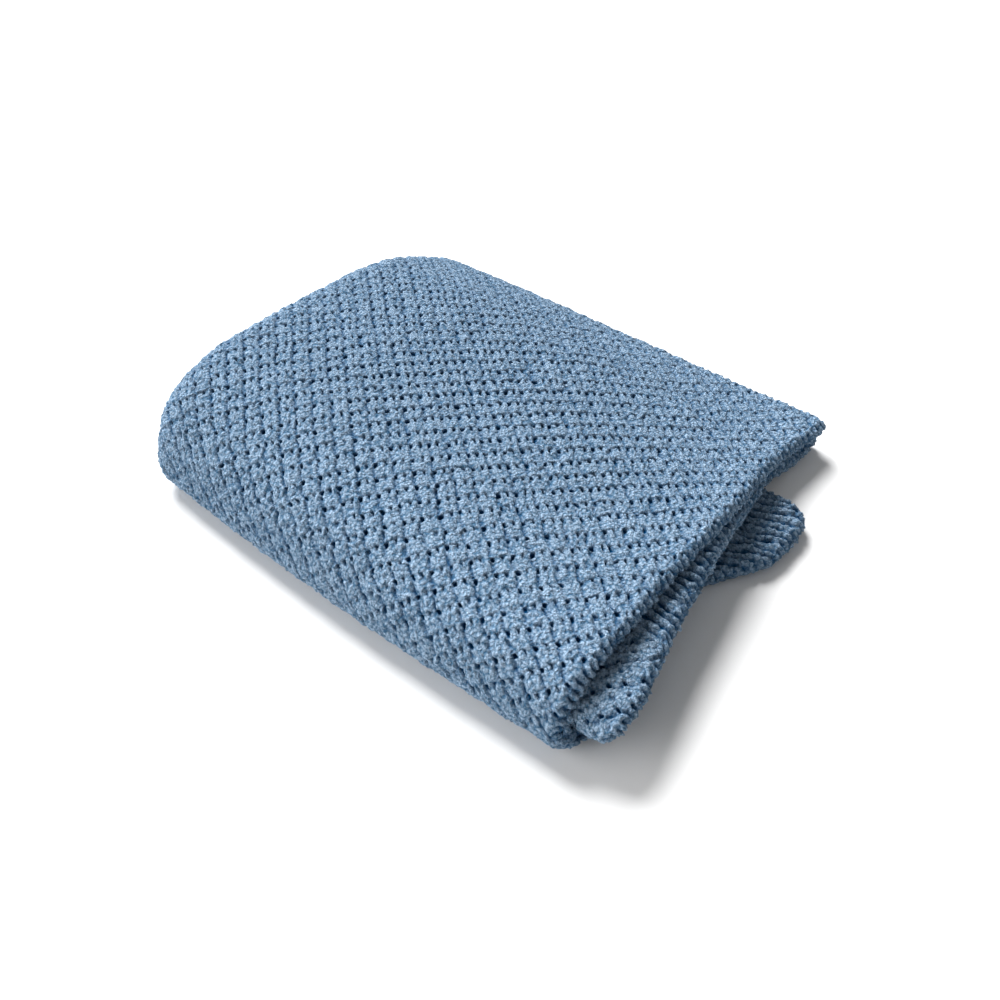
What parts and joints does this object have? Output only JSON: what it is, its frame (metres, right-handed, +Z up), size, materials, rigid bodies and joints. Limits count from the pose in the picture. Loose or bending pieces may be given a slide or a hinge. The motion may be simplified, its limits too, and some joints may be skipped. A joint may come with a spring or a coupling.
{
  "type": "folded chunky knit blanket",
  "caption": "Small chunky knit blanket folded in quarters, with loose rounded folds at one end and along one side and its cut ends and hems lying open.",
  "frame": {"origin": "centre of the footprint, on the surface that the folded blanket lies on", "axes": "+X along the front fold, from the double fold at the left end to the open ends of the layers, +Y from the front fold to the hems, +Z up through the stack"},
  "size_m": [0.432, 0.3618, 0.0809],
  "materials": {
    "chenille_yarn": "matt, fuzzy"
  },
  "bodies": {
    "root": {"blanket": "chenille_yarn"}
  },
  "joints": []
}
